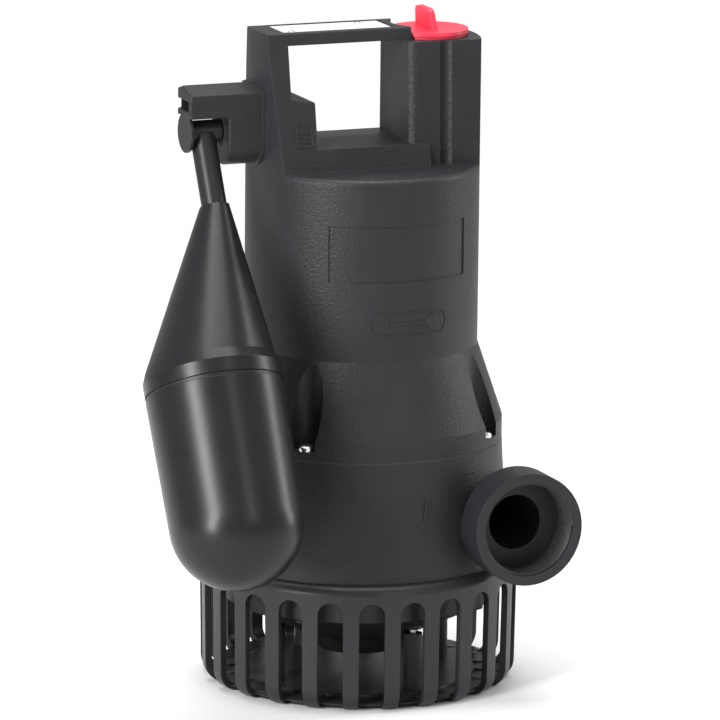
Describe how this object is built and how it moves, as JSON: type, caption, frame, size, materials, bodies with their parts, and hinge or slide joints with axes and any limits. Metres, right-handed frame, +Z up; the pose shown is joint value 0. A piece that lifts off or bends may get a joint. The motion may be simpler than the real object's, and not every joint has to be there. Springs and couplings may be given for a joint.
{
  "type": "submersible drainage pump",
  "caption": "Portable submersible pump with a slotted strainer foot, side float switch, carry handle, threaded side outlet and capped cable socket.",
  "frame": {"origin": "on the pump axis, in the plane of the foot it stands on", "axes": "+Z up the pump axis, +X along the handle towards the cable socket, outlet facing -Y"},
  "size_m": [0.1954, 0.1828, 0.3025],
  "materials": {
    "housing_plastic": "fine-grained charcoal moulding",
    "basket_plastic": "smooth satin charcoal moulding",
    "float_plastic": "smooth satin black moulding",
    "lever_plastic": "satin black moulding",
    "cap_plastic": "bright red moulding",
    "plate_aluminium": "brushed bare plate",
    "screw_steel": "bright stainless",
    "shaft_steel": "ground stainless",
    "bearing_steel": "polished bearing steel",
    "lamination_steel": "stacked electrical steel",
    "can_steel": "drawn stainless sheet",
    "rotor_aluminium": "cast aluminium",
    "winding_copper": "enamelled copper wire",
    "contact_brass": "plain brass",
    "inner_plastic": "glass-filled black moulding",
    "impeller_plastic": "glass-filled dark grey moulding",
    "capacitor_plastic": "white case",
    "switch_plastic": "dark grey moulding",
    "plunger_plastic": "pale grey moulding",
    "seal_rubber": "nitrile rubber",
    "seal_ceramic": "lapped ceramic",
    "seal_carbon": "lapped carbon",
    "ballast_iron": "as cast"
  },
  "bodies": {
    "housing": {"motor_housing": "housing_plastic", "type_plate": "plate_aluminium", "plate_rivets": "screw_steel", "volute_casing": "housing_plastic", "housing_screws": "screw_steel", "seal_plate": "inner_plastic", "casing_seal": "seal_rubber", "seal_seat": "seal_ceramic", "lower_bearing_outer": "bearing_steel", "upper_bearing_outer": "bearing_steel", "stator_core": "lamination_steel", "lower_winding": "winding_copper", "upper_winding": "winding_copper", "motor_can": "can_steel", "upper_bracket": "rotor_aluminium", "capacitor": "capacitor_plastic", "wear_plate": "can_steel", "inlet_cone": "basket_plastic", "inlet_screws": "screw_steel", "strainer_basket": "basket_plastic", "strainer_screws": "screw_steel", "socket_insert": "inner_plastic", "contact_pins": "contact_brass", "pivot_seal": "seal_rubber", "switch_body": "switch_plastic", "switch_terminals": "contact_brass"},
    "rotor": {"motor_shaft": "shaft_steel", "rotor_core": "lamination_steel", "rotor_end_rings": "rotor_aluminium", "lower_bearing_inner": "bearing_steel", "lower_bearing_balls": "bearing_steel", "upper_bearing_inner": "bearing_steel", "upper_bearing_balls": "bearing_steel", "seal_ring": "seal_carbon", "seal_bellows": "seal_rubber", "impeller": "impeller_plastic", "impeller_washer": "screw_steel", "impeller_nut": "screw_steel"},
    "float": {"float_lever": "lever_plastic", "float_upper": "float_plastic", "float_joint_ring": "lever_plastic", "float_lower": "float_plastic", "float_ballast": "ballast_iron", "pivot_pin": "shaft_steel", "switch_cam": "switch_plastic"},
    "plunger": {"switch_plunger": "plunger_plastic"},
    "cap": {"socket_cap": "cap_plastic", "cap_seal": "seal_rubber"}
  },
  "joints": [
    {"name": "rotor_spin", "type": "hinge", "parent": "housing", "child": "rotor", "pos_m": [0, 0, 0.1185], "axis": [0, 0, 1], "continuous": true},
    {"name": "float_swing", "type": "hinge", "parent": "housing", "child": "float", "pos_m": [0, 0, 0.2521], "axis": [-1, 0, 0], "range_deg": [0, 72]},
    {"name": "plunger_press", "type": "slide", "parent": "housing", "child": "plunger", "axis": [0, 0, -1], "range_m": [0, 0.0012]},
    {"name": "cap_pull", "type": "slide", "parent": "housing", "child": "cap", "axis": [0, 0, 1], "range_m": [0, 0.025]}
  ],
  "couplings": [
    {"joint": "plunger_press", "follows": "float_swing", "m_per_rad": 0.00095}
  ]
}
